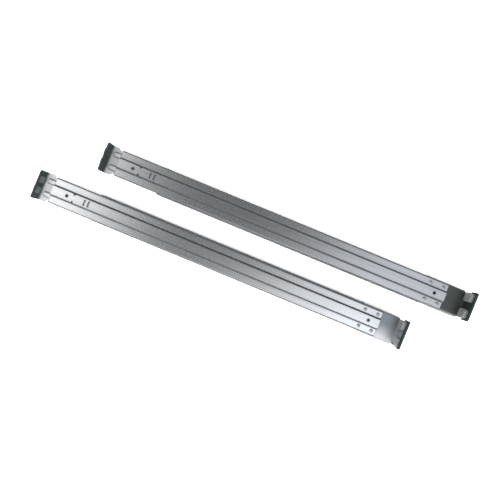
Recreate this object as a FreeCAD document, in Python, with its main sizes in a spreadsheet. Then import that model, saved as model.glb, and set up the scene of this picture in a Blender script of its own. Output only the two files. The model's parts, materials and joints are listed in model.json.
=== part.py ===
import FreeCAD, Part
import math
import os
import Sketcher

# A pair of ball-bearing sliding rails that carry a server in a 19-inch rack.  Both rails lie on their
# chassis side: +X is the front of the rack, +Z the side that faces the rack posts.  Every length is in
# millimetres.  Along a rail, places are given as the distance behind the face of its front flange.

DRIVING_SIZES = {
    # the pair
    "pair_pitch": 73.0,          # between the two rails' centre lines
    "pair_stagger": 73.5,        # the left rail lies this much further forward
    # ball races
    "outer_width": 42.5,         # over the outer member, just under one rack unit
    "member_wall": 1.2,
    "ball_radius": 2.0,
    "race_gap": 0.25,            # running gap between a ball and its race
    "race_web": 1.2,             # metal left between the two races of the intermediate wall
    "race_wall": 2.8,            # intermediate wall away from its races
    "race_height": 4.6,          # ball centres above the chassis face
    "race_wrap": 30.0,           # degrees that a race wraps above or below the ball centre
    "lip_wrap": 60.0,            # degrees that the outer lip wraps under the ball
    "inner_wrap": 35.0,          # degrees that the inner race wraps above the ball centre
    "reverse_bend": 0.9,         # inside radius of the bend beside a race
    "corner_bend": 1.4,          # outside radius of the members' corners
    "lip_lift": 1.6,             # intermediate walls above the chassis face
    "cage_wall": 0.8,
    "layer_gap": 0.4,            # between the nested webs
    "cage_lift": 2.0,            # cage legs above the chassis face
    "window_gap": 0.15,          # between a ball and its window in the cage
    # lengths along the rail
    "member_setback": 63.0,
    "member_length": 416.0,
    "slide_setback": 7.0,        # intermediate behind the outer member's front end
    "slide_spare": 8.0,          # intermediate ahead of the outer member's rear end
    "inner_setback": 4.0,        # inner member ahead of the intermediate's front end
    "travel": 210.0,             # of each sliding stage
    "cage_length": 180.0,
    "cage_spare": 4.0,           # cage short of its front stop at full travel
    "balls_per_row": 6.0,
    "ball_edge": 8.0,            # end ball centre to cage end
    # stops
    "stop_length": 3.0,
    "stop_width": 10.0,
    "stop_gap": 0.3,
    "bumper_length": 6.0,
    "bumper_width": 14.0,
    "bumper_round": 1.5,
    # three-strip channel on the back
    "channel_setback": 30.7,
    "channel_spare": 18.0,       # channel ahead of the rear flange's face
    "channel_width": 39.4,
    "channel_wall": 1.5,
    "channel_room": 4.0,         # between the side strips and the outer member's web
    "channel_bend": 2.2,         # outside radius of the channel's edges
    "strip_line": 7.6,           # centre line to the steps beside the raised middle strip
    "strip_rise": 2.4,
    "strip_slope": 1.8,          # width of a step
    "tongue_corner": 1.0,
    "rivet_spread": 25.8,
    "rivet_near": 37.4,
    "rivet_far": 57.3,
    "rivet_radius": 1.6,
    "rivet_head": 2.8,
    "rivet_dome": 0.7,
    "hole_radius": 2.2,
    "front_hole": 47.9,
    "rear_hole": 24.2,           # this and the next two: ahead of the channel's rear end
    "notch_place": 34.3,
    "slit_place": 54.5,
    "notch_radius": 1.1,
    "slit_pitch": 6.4,
    "slit_width": 2.0,
    "slit_length": 8.4,
    "slit_depth": 0.8,           # the slits are pressed into the middle strip, not through it
    # front bracket
    "bracket_wall": 2.0,
    "bracket_bend": 3.0,         # outside radius of the bracket's long edges
    "bracket_end": 61.0,
    "bracket_width": 42.5,
    "bracket_lip": 10.5,         # depth of the side lips below the plate
    "lip_start": 4.0,
    "flange_width": 42.5,
    "flange_bend": 3.5,
    "flange_corner": 2.5,
    "relief_depth": 2.4,         # notches in the front flange's sides, beside its bend
    "relief_height": 11.0,       # above the plate's underside
    "front_rise": 23.0,          # front flange above the plate's underside
    "rack_pitch": 31.75,         # outer two holes of one rack unit
    "rack_hole_radius": 2.75,
    "rack_hole_height": 13.0,    # above the plate's underside
    "block_width": 13.2,
    "block_centre": 12.2,
    "block_depth": 5.0,
    "block_height": 12.0,
    "block_corner": 2.2,
    "thread_radius": 2.1,
    # rear bracket
    "arm_gap": 0.3,              # arm to the channel, the outer member and the rivet heads
    "arm_wall": 1.5,
    "arm_overlap": 189.0,        # of the arm and the outer member
    "rear_reach": 563.0,         # face of the rear flange behind the front flange's face
    "rear_rise": 17.0,
    "arm_spread": 13.0,          # where the arm widens, ahead of the rear flange's face
    "bead_centre": 10.0,
    "bead_width": 7.5,
    "bead_rise": 1.9,
    "bead_round": 1.4,
    "bead_rear": 4.5,            # ahead of the rear flange's face
    "bead_front": 10.0,          # behind the arm's front end
    "bead_wall": 1.3,
    "peg_width": 9.2,            # enters a 9.5 mm square rack hole
    "peg_pitch": 15.875,
    "peg_height": 9.6,           # peg centres above the plate's underside
    "peg_reach": 3.0,            # beyond the rear flange's face
    "peg_foot": 0.8,             # proud of the flange's inside
    "peg_nose": 1.2,
    "slot_front": 11.0,          # behind the arm's front end
    "slot_spare": 2.7,           # slot past the rear guide rivet's shank
    "slot_width": 5.2,
    "guide_radius": 2.3,
    "guide_head": 4.5,
    "guide_dome": 1.2,
    "guide_inset": 11.0,         # rear guide rivet ahead of the outer member's rear end
    "guide_pitch": 18.0,
    # chassis mounting
    "chassis_hole_radius": 2.25,
    "chassis_first": 30.0,       # first hole behind the inner member's front end
    "chassis_last": 45.0,        # last hole ahead of its rear end
    "chassis_count": 4.0,
    "window_length": 24.0,
    "window_width": 8.0,
    # release lever
    "lever_lead": 14.0,          # pivot ahead of the intermediate's front end at full travel
    "lever_width": 5.0,
    "lever_front": 22.0,
    "lever_rear": 26.0,
    "lever_wall": 1.0,
    "lever_lift": 0.8,           # above the inner member's web
    "lever_ear": 6.5,
    "lever_ear_length": 6.5,
    "lever_tab": 2.2,
    "pivot_radius": 1.3,
    "pivot_head": 2.4,
    "pivot_play": 0.05,
    "spring_wire": 0.35,
    "catch_near": 3.2,
    "catch_far": 6.8,
}

PAST = 1.0                       # how far a cutting tool runs past the metal
TINY = 1e-6                      # lengths below this are taken as none
SPRING_COILS = 2


class Size:
    """A length that carries its value and the sheet formula that it comes from."""

    def __init__(self, value, formula):
        self.value = value
        self.formula = formula

    @staticmethod
    def of(number):
        return number if isinstance(number, Size) else Size(float(number), f"({float(number)!r})")

    def _join(self, sign, value, first, second):
        return Size(value, f"({first.formula} {sign} {second.formula})")

    def __add__(self, other):
        other = Size.of(other)
        return self._join("+", self.value + other.value, self, other)

    def __sub__(self, other):
        other = Size.of(other)
        return self._join("-", self.value - other.value, self, other)

    def __mul__(self, other):
        other = Size.of(other)
        return self._join("*", self.value * other.value, self, other)

    def __truediv__(self, other):
        other = Size.of(other)
        return self._join("/", self.value / other.value, self, other)

    def __radd__(self, other):
        return Size.of(other) + self

    def __rsub__(self, other):
        return Size.of(other) - self

    def __rmul__(self, other):
        return Size.of(other) * self

    def __neg__(self):
        return Size.of(0.0) - self


def cosine(angle):
    return Size(math.cos(math.radians(angle.value)), f"cos({angle.formula} * 1 deg)")


def sine(angle):
    return Size(math.sin(math.radians(angle.value)), f"sin({angle.formula} * 1 deg)")


def root(area):
    return Size(math.sqrt(area.value), f"sqrt({area.formula})")


def make_sheet(doc):
    """Put the driving sizes in a sheet, one row each, and give them back as Size objects."""
    sheet = doc.addObject("Spreadsheet::Sheet", "Sizes")
    sizes = {}
    for row, (name, value) in enumerate(DRIVING_SIZES.items(), start=1):
        sheet.set(f"A{row}", name)
        sheet.set(f"B{row}", str(value))
        sheet.setAlias(f"B{row}", name)
        sizes[name] = Size(float(value), f"Sizes.{name}")
    return sizes


def bind(thing, name, size):
    """Tie one property of an object to a formula of the sheet."""
    thing.setExpression(name, Size.of(size).formula)


def put(thing, x=None, y=None, z=None):
    """Tie an object's place to formulas of the sheet."""
    for axis, size in (("x", x), ("y", y), ("z", z)):
        if size is not None:
            bind(thing, f"Placement.Base.{axis}", size)
    return thing


class Outline:
    """A closed outline of straight and round stretches, drawn as a fully constrained sketch."""

    def __init__(self, across, up):
        self.corners = [(Size.of(across), Size.of(up))]
        self.arcs = []

    def line(self, across, up):
        self.corners.append((Size.of(across), Size.of(up)))
        self.arcs.append(None)
        return self

    def arc(self, across, up, centre, radius):
        self.corners.append((Size.of(across), Size.of(up)))
        self.arcs.append((Size.of(centre[0]), Size.of(centre[1]), Size.of(radius)))
        return self

    def mirrored(self):
        """Add the same outline turned over the upright axis, joined by straight lines."""
        turned = [(-across, up) for across, up in reversed(self.corners)]
        arcs = [arc and (-arc[0], arc[1], arc[2]) for arc in reversed(self.arcs)]
        self.corners = self.corners + turned
        self.arcs = self.arcs + [None] + arcs
        return self

    def _edge(self, number):
        """One edge as geometry, with the numbers of its start and end points."""
        start = self.corners[number]
        end = self.corners[(number + 1) % len(self.corners)]
        arc = self.arcs[number] if number < len(self.arcs) else None
        first = FreeCAD.Vector(start[0].value, start[1].value, 0)
        last = FreeCAD.Vector(end[0].value, end[1].value, 0)
        if arc is None:
            return Part.LineSegment(first, last), (1, 2)
        centre = FreeCAD.Vector(arc[0].value, arc[1].value, 0)
        forward = (first - centre).cross(last - centre).z > 0
        low, high = (first, last) if forward else (last, first)
        circle = Part.Circle(centre, FreeCAD.Vector(0, 0, 1), arc[2].value)
        begin = math.atan2(low.y - centre.y, low.x - centre.x)
        finish = math.atan2(high.y - centre.y, high.x - centre.x)
        if finish < begin:
            finish += 2 * math.pi
        return Part.ArcOfCircle(circle, begin, finish), (1, 2) if forward else (2, 1)

    def draw(self, sketch):
        count = len(self.corners)
        ends = []
        for number in range(count):
            edge, points = self._edge(number)
            sketch.addGeometry(edge, False)
            ends.append(points)
        for number in range(count):
            following = (number + 1) % count
            join = Sketcher.Constraint("Coincident", number, ends[number][1], following, ends[following][0])
            sketch.addConstraint(join)
        for number in range(count):
            across, up = self.corners[number]
            pin(sketch, "DistanceX", -2, number, ends[number][0], across)
            pin(sketch, "DistanceY", -1, number, ends[number][0], up)
            arc = self.arcs[number] if number < len(self.arcs) else None
            if arc is not None:
                limit(sketch, Sketcher.Constraint("Radius", number, arc[2].value), arc[2])


def pin(sketch, kind, axis, number, point, size):
    """Hold one point of an edge at a formula's distance from the origin."""
    if abs(size.value) < TINY:
        sketch.addConstraint(Sketcher.Constraint("PointOnObject", number, point, axis))
    else:
        limit(sketch, Sketcher.Constraint(kind, -1, 1, number, point, size.value), size)


def limit(sketch, constraint, size):
    index = sketch.addConstraint(constraint)
    sketch.setExpression(f"Constraints[{index}]", size.formula)


class Shop:
    """The FreeCAD operations that the pieces are made with."""

    def __init__(self, doc):
        self.doc = doc

    def body(self, name, plane, outline):
        """A body with one sketch of the outline on an origin plane."""
        body = self.doc.addObject("PartDesign::Body", name)
        sketch = body.newObject("Sketcher::SketchObject", name + "_outline")
        planes = [item for item in body.Origin.OriginFeatures if item.Role == plane]
        sketch.AttachmentSupport = [(planes[0], "")]
        sketch.MapMode = "FlatFace"
        outline.draw(sketch)
        return body, sketch

    def bar(self, name, plane, outline, length, midplane=False):
        """The outline, padded."""
        body, sketch = self.body(name, plane, outline)
        pad = body.newObject("PartDesign::Pad", name + "_pad")
        pad.Profile = sketch
        pad.Midplane = midplane
        bind(pad, "Length", length)
        return body

    def turned(self, name, outline):
        """The outline in the XZ plane, turned about the upright axis."""
        body, sketch = self.body(name, "XZ_Plane", outline)
        turn = body.newObject("PartDesign::Revolution", name + "_turn")
        turn.Profile = sketch
        turn.ReferenceAxis = (sketch, ["V_Axis"])
        turn.Angle = 360.0
        return body

    def block(self, name, x, y, z, length, width, height):
        block = self.doc.addObject("Part::Box", name)
        bind(block, "Length", length)
        bind(block, "Width", width)
        bind(block, "Height", height)
        return put(block, x, y, z)

    def rod(self, name, x, y, z, radius, length, along="Z"):
        rod = self.doc.addObject("Part::Cylinder", name)
        bind(rod, "Radius", radius)
        bind(rod, "Height", length)
        turns = {
            "X": FreeCAD.Rotation(FreeCAD.Vector(0, 1, 0), 90),
            "Y": FreeCAD.Rotation(FreeCAD.Vector(1, 0, 0), -90),
            "Z": FreeCAD.Rotation(),
        }
        rod.Placement = FreeCAD.Placement(FreeCAD.Vector(), turns[along])
        return put(rod, x, y, z)

    def fuse(self, name, shapes):
        fusion = self.doc.addObject("Part::MultiFuse", name)
        fusion.Shapes = shapes
        return fusion

    def cut(self, name, base, tools):
        result = self.doc.addObject("Part::Cut", name)
        result.Base = base
        result.Tool = tools[0] if len(tools) == 1 else self.group(name + "_tools", tools)
        return result

    def group(self, name, shapes):
        group = self.doc.addObject("Part::Compound", name)
        group.Links = shapes
        return group


def slot_outline(front, rear, across, width):
    """A slot with round ends, seen from above; front and rear are distances behind the flange."""
    half = width / 2
    low, high = across - half, across + half
    right, left = -front - half, -rear + half
    outline = Outline(left, low).line(right, low)
    outline.arc(right + half, across, (right, across), half)
    outline.arc(right, high, (right, across), half)
    outline.line(left, high)
    outline.arc(left - half, across, (left, across), half)
    outline.arc(left, low, (left, across), half)
    outline.corners.pop()
    return outline


class Levels:
    """Heights and widths that follow from the driving sizes and that several pieces share."""

    def __init__(self, s):
        self.race = s.ball_radius + s.race_gap
        self.back = self.race + s.member_wall
        self.outer_ball = s.outer_width / 2 - self.back
        self.inner_ball = self.outer_ball - self.race * 2 - s.race_web
        self.wall = (self.outer_ball + self.inner_ball) / 2
        self.inner_cage = s.race_height + s.ball_radius + s.layer_gap
        self.middle = self.inner_cage + s.cage_wall + s.layer_gap
        self.middle_top = self.middle + s.member_wall
        self.outer_cage = self.middle_top + s.layer_gap
        self.outer = self.outer_cage + s.cage_wall + s.layer_gap
        self.outer_top = self.outer + s.member_wall
        self.strip = self.outer_top + s.channel_room
        self.strip_top = self.strip + s.channel_wall
        self.middle_strip = self.strip + s.strip_rise
        self.middle_strip_top = self.strip_top + s.strip_rise
        self.plate = self.strip - s.bracket_wall
        self.arm = self.outer_top + s.arm_gap
        self.arm_top = self.arm + s.arm_wall
        self.arm_half = s.channel_width / 2 - s.channel_wall - s.arm_gap
        self.member_rear = s.member_setback + s.member_length
        self.slide_front = s.member_setback + s.slide_setback
        self.slide_rear = self.member_rear - s.slide_spare
        self.slide_length = self.slide_rear - self.slide_front
        self.inner_front = self.slide_front - s.inner_setback
        self.inner_length = self.slide_length + s.inner_setback
        half_travel = s.travel / 2
        self.stop_rear = s.member_setback + s.stop_length
        self.outer_cage_front = self.stop_rear + s.cage_spare + half_travel
        self.catch_rear = self.slide_front + s.stop_length
        self.inner_cage_front = self.catch_rear + s.cage_spare + half_travel
        self.channel_rear = s.rear_reach - s.channel_spare
        self.arm_front = self.member_rear - s.arm_overlap
        self.guide_far = self.member_rear - s.guide_inset
        self.guide_near = self.guide_far - s.guide_pitch
        self.slot_rear = self.guide_far + s.guide_radius + s.slot_spare
        self.lever_place = self.slide_front + s.travel - s.lever_lead
        self.chassis_near = self.inner_front + s.chassis_first
        spread = self.inner_length - s.chassis_first - s.chassis_last
        self.chassis_pitch = spread / (s.chassis_count - 1)


class Rail:
    """One rail: it builds every sub-part in the rail's own frame and then moves it to its place."""

    def __init__(self, shop, s, side, hand):
        self.shop = shop
        self.s = s
        self.level = Levels(s)
        self.side = side
        self.hand = hand
        self.nodes = []
        half = (s.rear_reach + s.peg_reach + s.pair_stagger) / 2
        self.front = half if side == "left" else half - s.pair_stagger
        self.middle = s.pair_pitch / 2 if side == "left" else -(s.pair_pitch / 2)

    def name(self, word):
        return f"{self.side}_{word}"

    def finish(self, piece, word):
        """Label a finished sub-part and move it to the rail's place."""
        piece.Label = self.name(word)
        put(piece, self.front, self.middle)
        self.nodes.append(piece)

    def profile(self, word, front, length, outline):
        """A length of rolled or bent section, from its front end to the rear."""
        bar = self.shop.bar(self.name(word), "YZ_Plane", outline, length)
        return put(bar, x=-(front + length))

    def holes(self, word, places, radius, low, depth):
        """Upright round tools at (distance behind the flange, place across)."""
        return [
            self.shop.rod(f"{self.name(word)}_{number}", -place, across, low, radius, depth)
            for number, (place, across) in enumerate(places)
        ]

    # ---- the ball slide -------------------------------------------------------------------

    def outer_member(self):
        s, level, shop = self.s, self.level, self.shop
        ball, height = level.outer_ball, s.race_height
        top = level.outer_top
        wrap_y, wrap_z = cosine(s.race_wrap), sine(s.race_wrap)
        lip_y, lip_z = cosine(s.lip_wrap), sine(s.lip_wrap)
        bend = (ball + (level.back + s.reverse_bend) * wrap_y, height + (level.back + s.reverse_bend) * wrap_z)
        face = bend[0] - s.reverse_bend
        corner = (face - s.corner_bend, top - s.corner_bend)
        outline = Outline(corner[0], top)
        outline.arc(face, corner[1], corner, s.corner_bend)
        outline.line(face, bend[1])
        outline.arc(ball + level.back * wrap_y, height + level.back * wrap_z, bend, s.reverse_bend)
        outline.arc(ball + level.back * lip_y, height - level.back * lip_z, (ball, height), level.back)
        outline.line(ball + level.race * lip_y, height - level.race * lip_z)
        outline.arc(ball + level.race * wrap_y, height + level.race * wrap_z, (ball, height), level.race)
        outline.arc(face - s.member_wall, bend[1], bend, s.reverse_bend + s.member_wall)
        outline.line(face - s.member_wall, corner[1])
        outline.arc(corner[0], level.outer, corner, s.corner_bend - s.member_wall)
        section = self.profile("outer_section", s.member_setback, s.member_length, outline.mirrored())
        stop = shop.block(
            self.name("outer_stop"), -level.stop_rear, -(s.stop_width / 2), level.middle_top + s.stop_gap,
            s.stop_length, s.stop_width, level.outer - level.middle_top - s.stop_gap,
        )
        places = [(level.guide_near, 0), (level.guide_far, 0)]
        deep = s.member_wall + PAST * 2
        tools = self.holes("guide_hole", places, s.guide_radius, level.outer - PAST, deep)
        whole = shop.fuse(self.name("outer_blank"), [section, stop])
        self.finish(shop.cut(self.name("outer_cut"), whole, tools), "outer_member")

    def intermediate_member(self):
        s, level, shop = self.s, self.level, self.shop
        height, low = s.race_height, s.lip_lift
        outside, inside = level.wall + s.race_wall / 2, level.wall - s.race_wall / 2
        reach = level.outer_ball - outside
        rise = root(level.race * level.race - reach * reach)
        corner = (outside - s.corner_bend, level.middle_top - s.corner_bend)
        outline = Outline(corner[0], level.middle_top)
        outline.arc(outside, corner[1], corner, s.corner_bend)
        outline.line(outside, height + rise)
        waist = level.wall + s.race_web / 2
        outline.arc(waist, height, (level.outer_ball, height), level.race)
        outline.arc(outside, height - rise, (level.outer_ball, height), level.race)
        outline.line(outside, low)
        outline.line(inside, low)
        outline.line(inside, height - rise)
        outline.arc(waist - s.race_web, height, (level.inner_ball, height), level.race)
        outline.arc(inside, height + rise, (level.inner_ball, height), level.race)
        outline.line(inside, level.middle)
        section = self.profile("middle_section", level.slide_front, level.slide_length, outline.mirrored())
        stop = shop.block(
            self.name("middle_stop"), -level.slide_rear, -(s.stop_width / 2), level.middle_top,
            s.stop_length * 2, s.stop_width, level.outer - level.middle_top - s.stop_gap,
        )
        catch_low = s.member_wall + s.lever_lift
        near = s.catch_near if self.hand > 0 else -s.catch_far
        catch = shop.block(
            self.name("middle_catch"), -level.catch_rear, near, catch_low,
            s.stop_length, s.catch_far - s.catch_near, level.middle - catch_low,
        )
        self.finish(shop.fuse(self.name("middle"), [section, stop, catch]), "intermediate_member")

    def inner_member(self):
        s, level, shop = self.s, self.level, self.shop
        ball, height = level.inner_ball, s.race_height
        wrap_y, wrap_z = cosine(s.race_wrap), sine(s.race_wrap)
        top_y, top_z = cosine(s.inner_wrap), sine(s.inner_wrap)
        bend = (ball - (level.back + s.reverse_bend) * wrap_y, height - (level.back + s.reverse_bend) * wrap_z)
        hollow = bend[0] + s.reverse_bend
        face = hollow + s.member_wall
        corner = (face - s.corner_bend, s.corner_bend)
        outline = Outline(corner[0], s.member_wall)
        outline.arc(hollow, corner[1], corner, s.corner_bend - s.member_wall)
        outline.line(hollow, bend[1])
        outline.arc(ball - level.back * wrap_y, height - level.back * wrap_z, bend, s.reverse_bend)
        outline.arc(ball - level.back * top_y, height + level.back * top_z, (ball, height), level.back)
        outline.line(ball - level.race * top_y, height + level.race * top_z)
        outline.arc(ball - level.race * wrap_y, height - level.race * wrap_z, (ball, height), level.race)
        outline.arc(face, bend[1], bend, s.reverse_bend + s.member_wall)
        outline.line(face, corner[1])
        outline.arc(corner[0], 0, corner, s.corner_bend)
        section = self.profile("inner_section", level.inner_front, level.inner_length, outline.mirrored())
        count = round(s.chassis_count.value)
        deep = s.member_wall + PAST * 2
        places = [(level.chassis_near + level.chassis_pitch * number, 0) for number in range(count)]
        tools = self.holes("chassis_hole", places, s.chassis_hole_radius, -PAST, deep)
        tools += self.holes("pivot_hole", [(level.lever_place, 0)], s.pivot_radius, -PAST, deep)
        half = s.window_length / 2
        for number in (1, count - 1):
            middle = level.chassis_near + level.chassis_pitch * (number - 0.5)
            window = slot_outline(middle - half, middle + half, Size.of(0), s.window_width)
            tools.append(shop.bar(self.name(f"web_window_{number}"), "XY_Plane", window, deep * 2, True))
        self.finish(shop.cut(self.name("inner_cut"), section, tools), "inner_member")

    def cage(self, word, ball, web, front):
        """A thin channel with a leg beside each row of balls and a round window for each ball."""
        s, shop = self.s, self.shop
        outside, inside = ball + s.cage_wall / 2, ball - s.cage_wall / 2
        top = web + s.cage_wall
        corner = (inside, web)
        outline = Outline(inside, top)
        outline.arc(outside, web, corner, s.cage_wall)
        outline.line(outside, s.cage_lift)
        outline.line(inside, s.cage_lift)
        outline.line(inside, web)
        section = self.profile(word + "_section", front, s.cage_length, outline.mirrored())
        windows = [
            shop.rod(
                f"{self.name(word)}_window_{number}", -place, across - s.cage_wall, s.race_height,
                s.ball_radius + s.window_gap, s.cage_wall * 2, "Y",
            )
            for number, (place, across) in enumerate(self.ball_places(ball, front))
        ]
        self.finish(shop.cut(self.name(word + "_cut"), section, windows), word)

    def ball_places(self, ball, front):
        s = self.s
        count = round(s.balls_per_row.value)
        pitch = (s.cage_length - s.ball_edge * 2) / (count - 1)
        return [(front + s.ball_edge + pitch * k, side * ball) for k in range(count) for side in (-1, 1)]

    def balls(self, word, ball, front):
        s = self.s
        spheres = []
        for number, (place, across) in enumerate(self.ball_places(ball, front)):
            sphere = self.shop.doc.addObject("Part::Sphere", f"{self.name(word)}_{number}")
            bind(sphere, "Radius", s.ball_radius)
            spheres.append(put(sphere, -place, across, s.race_height))
        self.finish(self.shop.group(self.name(word + "_set"), spheres), word)

    def rear_bumper(self):
        s, level = self.s, self.level
        half, rear = s.bumper_width / 2, level.slide_rear + s.stop_gap + s.bumper_length
        bottom, turn = s.lip_lift, s.bumper_round
        outline = Outline(half, level.outer).line(half, bottom + turn)
        outline.arc(half - turn, bottom, (half - turn, bottom + turn), turn)
        bumper = self.profile("bumper", rear - s.bumper_length, s.bumper_length, outline.mirrored())
        self.finish(self.shop.group(self.name("bumper_set"), [bumper]), "rear_bumper")

    # ---- the channel and its rivets -------------------------------------------------------

    def mount_channel(self):
        s, level, shop = self.s, self.level, self.shop
        half = s.channel_width / 2
        leg_low = level.outer_top
        run, rise, wall = s.strip_slope, s.strip_rise, s.channel_wall
        shift = wall * (root(run * run + rise * rise) - run) / rise
        crease, edge = s.strip_line + run / 2, s.strip_line - run / 2
        corner = (half - s.channel_bend, level.strip_top - s.channel_bend)
        outline = Outline(edge, level.middle_strip_top)
        outline.line(crease, level.strip_top)
        outline.line(corner[0], level.strip_top)
        outline.arc(half, corner[1], corner, s.channel_bend)
        outline.line(half, leg_low)
        outline.line(half - wall, leg_low)
        outline.line(half - wall, corner[1])
        outline.arc(corner[0], level.strip, corner, s.channel_bend - wall)
        outline.line(crease - shift, level.strip)
        outline.line(edge - shift, level.middle_strip)
        rear = level.channel_rear
        section = self.profile(
            "channel_section", s.channel_setback, rear - s.channel_setback, outline.mirrored(),
        )
        low = level.outer_top - PAST
        deep = level.middle_strip_top + PAST - low
        places = [(s.front_hole, 0), (rear - s.rear_hole, 0)]
        tools = self.holes("channel_hole", places, s.hole_radius, low, deep)
        tools += self.holes("front_rivet_hole", self.rivet_places(), s.rivet_radius, low, deep)
        notch = edge - s.notch_radius
        places = [(rear - s.notch_place, side * notch) for side in (-1, 1)]
        tools += self.holes("notch", places, s.notch_radius, low, deep)
        for number, side in enumerate((-0.5, 0.5)):
            x = s.slit_place - rear + side * s.slit_pitch - s.slit_width / 2
            tools.append(shop.block(
                self.name(f"slit_{number}"), x, -(s.slit_length / 2), level.middle_strip_top - s.slit_depth,
                s.slit_width, s.slit_length, s.slit_depth + PAST,
            ))
        tools.append(shop.block(
            self.name("leg_relief"), -s.member_setback, -half, low,
            s.member_setback, s.channel_width, level.strip - low,
        ))
        tools += [self.tongue_corner(number, side * half, low, deep) for number, side in enumerate((-1, 1))]
        self.finish(shop.cut(self.name("channel_cut"), section, tools), "mount_channel")

    def tongue_corner(self, number, across, low, deep):
        """A square bar stood on edge that takes a slanted corner off the channel's front end."""
        s = self.s
        bar = self.shop.block(self.name(f"tongue_corner_{number}"), None, None, None, 1, 1, deep)
        side = s.tongue_corner * root(Size.of(2.0))
        bind(bar, "Length", side)
        bind(bar, "Width", side)
        bar.Placement = FreeCAD.Placement(FreeCAD.Vector(), FreeCAD.Rotation(FreeCAD.Vector(0, 0, 1), 45))
        return put(bar, -s.channel_setback, across - s.tongue_corner, low)

    def rivet_places(self):
        s = self.s
        half = s.rivet_spread / 2
        return [(place, side * half) for place in (s.rivet_near, s.rivet_far) for side in (-1, 1)]

    def rivet(self, name, foot, seat, radius, head, dome):
        """A rivet: shank from foot to seat, and a low domed head on the seat."""
        sweep = (head * head + dome * dome) / (dome * 2)
        outline = Outline(0, foot).line(radius, foot).line(radius, seat).line(head, seat)
        outline.arc(0, seat + dome, (Size.of(0), seat + dome - sweep), sweep)
        return self.shop.turned(name, outline)

    def front_rivets(self):
        s, level = self.s, self.level
        rivets = []
        for number, (place, across) in enumerate(self.rivet_places()):
            rivet = self.rivet(
                self.name(f"front_rivet_{number}"), level.plate, level.strip_top,
                s.rivet_radius, s.rivet_head, s.rivet_dome,
            )
            rivets.append(put(rivet, -place, across))
        self.finish(self.shop.group(self.name("front_rivet_set"), rivets), "front_rivets")

    def guide_rivets(self):
        s, level = self.s, self.level
        rivets = []
        for number, place in enumerate((level.guide_near, level.guide_far)):
            rivet = self.rivet(
                self.name(f"guide_rivet_{number}"), level.outer, level.arm_top + s.arm_gap,
                s.guide_radius, s.guide_head, s.guide_dome,
            )
            rivets.append(put(rivet, -place, Size.of(0)))
        self.finish(self.shop.group(self.name("guide_rivet_set"), rivets), "guide_rivets")

    # ---- the brackets ---------------------------------------------------------------------

    def flange(self, word, plate, wall, rise):
        """The bend and the upright flange, its mounting face at x = 0, the plate behind it."""
        s, turn = self.s, self.s.flange_bend
        centre = (-turn, plate + turn)
        outline = Outline(-turn, plate)
        outline.arc(0, plate + turn, centre, turn)
        outline.line(0, plate + rise)
        outline.line(-wall, plate + rise)
        outline.line(-wall, plate + turn)
        outline.arc(-turn, plate + wall, centre, turn - wall)
        body = self.shop.bar(self.name(word), "XZ_Plane", outline, s.flange_width, True)
        self.shop.doc.recompute()
        pad = body.Tip
        half, top = s.flange_width.value / 2, (plate + rise).value
        corners = [name for side in (-half, half) for name in edges_at(pad.Shape, Y=side, Z=top)]
        fillet = body.newObject("PartDesign::Fillet", self.name(word + "_corners"))
        fillet.Base = (pad, corners)
        bind(fillet, "Radius", s.flange_corner)
        body.Tip = fillet
        return body

    def front_bracket(self):
        s, level, shop = self.s, self.level, self.shop
        half, wall, turn = s.bracket_width / 2, s.bracket_wall, s.bracket_bend
        plate, top = level.plate, level.strip
        low = plate - s.bracket_lip
        corner = (half - turn, top - turn)
        outline = Outline(corner[0], top).arc(half, corner[1], corner, turn)
        outline.line(half, low).line(half - wall, low).line(half - wall, corner[1])
        outline.arc(corner[0], plate, corner, turn - wall)
        length = s.bracket_end - s.flange_bend
        section = self.profile("bracket_section", s.flange_bend, length, outline.mirrored())
        flange = self.flange("front_flange", plate, wall, s.front_rise)
        blank = shop.fuse(self.name("bracket_blank"), [section, flange])
        holes = [
            shop.rod(
                self.name(f"rack_hole_{number}"), -wall * 2, side * s.rack_pitch / 2,
                plate + s.rack_hole_height, s.rack_hole_radius, wall * 3, "X",
            )
            for number, side in enumerate((-1, 1))
        ]
        base, deep = plate - PAST, wall + PAST * 2
        holes += self.holes("plate_rivet_hole", self.rivet_places(), s.rivet_radius, base, deep)
        holes += self.holes("plate_hole", [(s.front_hole, 0)], s.hole_radius, base, deep)
        for number, side in enumerate((-1, 1)):
            holes.append(shop.block(
                self.name(f"lip_start_{number}"), -s.lip_start, side * half - wall * 2, low - PAST,
                s.lip_start, wall * 4, s.bracket_lip + PAST,
            ))
            inner = side * (s.flange_width / 2 - s.relief_depth + wall * 2)
            holes.append(shop.block(
                self.name(f"bend_relief_{number}"), -s.lip_start, inner - wall * 2, base,
                s.lip_start + PAST, wall * 4, s.relief_height + PAST,
            ))
        self.finish(shop.cut(self.name("bracket_cut"), blank, holes), "front_bracket")

    def nut_blocks(self):
        s, level, shop = self.s, self.level, self.shop
        blocks = []
        half, tall, cut = s.block_width / 2, s.block_height / 2, s.block_corner
        height = level.plate + s.rack_hole_height
        for number, side in enumerate((-1, 1)):
            middle = side * s.block_centre
            outline = Outline(middle + half, height - tall + cut).line(middle + half, height + tall - cut)
            outline.line(middle + half - cut, height + tall).line(middle - half + cut, height + tall)
            outline.line(middle - half, height + tall - cut).line(middle - half, height - tall + cut)
            outline.line(middle - half + cut, height - tall).line(middle + half - cut, height - tall)
            block = shop.bar(self.name(f"nut_blank_{number}"), "YZ_Plane", outline, s.block_depth)
            put(block, x=-(s.bracket_wall + s.block_depth))
            thread = shop.rod(
                self.name(f"nut_thread_{number}"), -(s.bracket_wall + s.block_depth + PAST),
                side * s.rack_pitch / 2, height, s.thread_radius, s.block_depth + PAST * 2, "X",
            )
            blocks.append(shop.cut(self.name(f"nut_block_{number}"), block, [thread]))
        self.finish(shop.group(self.name("nut_block_set"), blocks), "nut_blocks")

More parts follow.
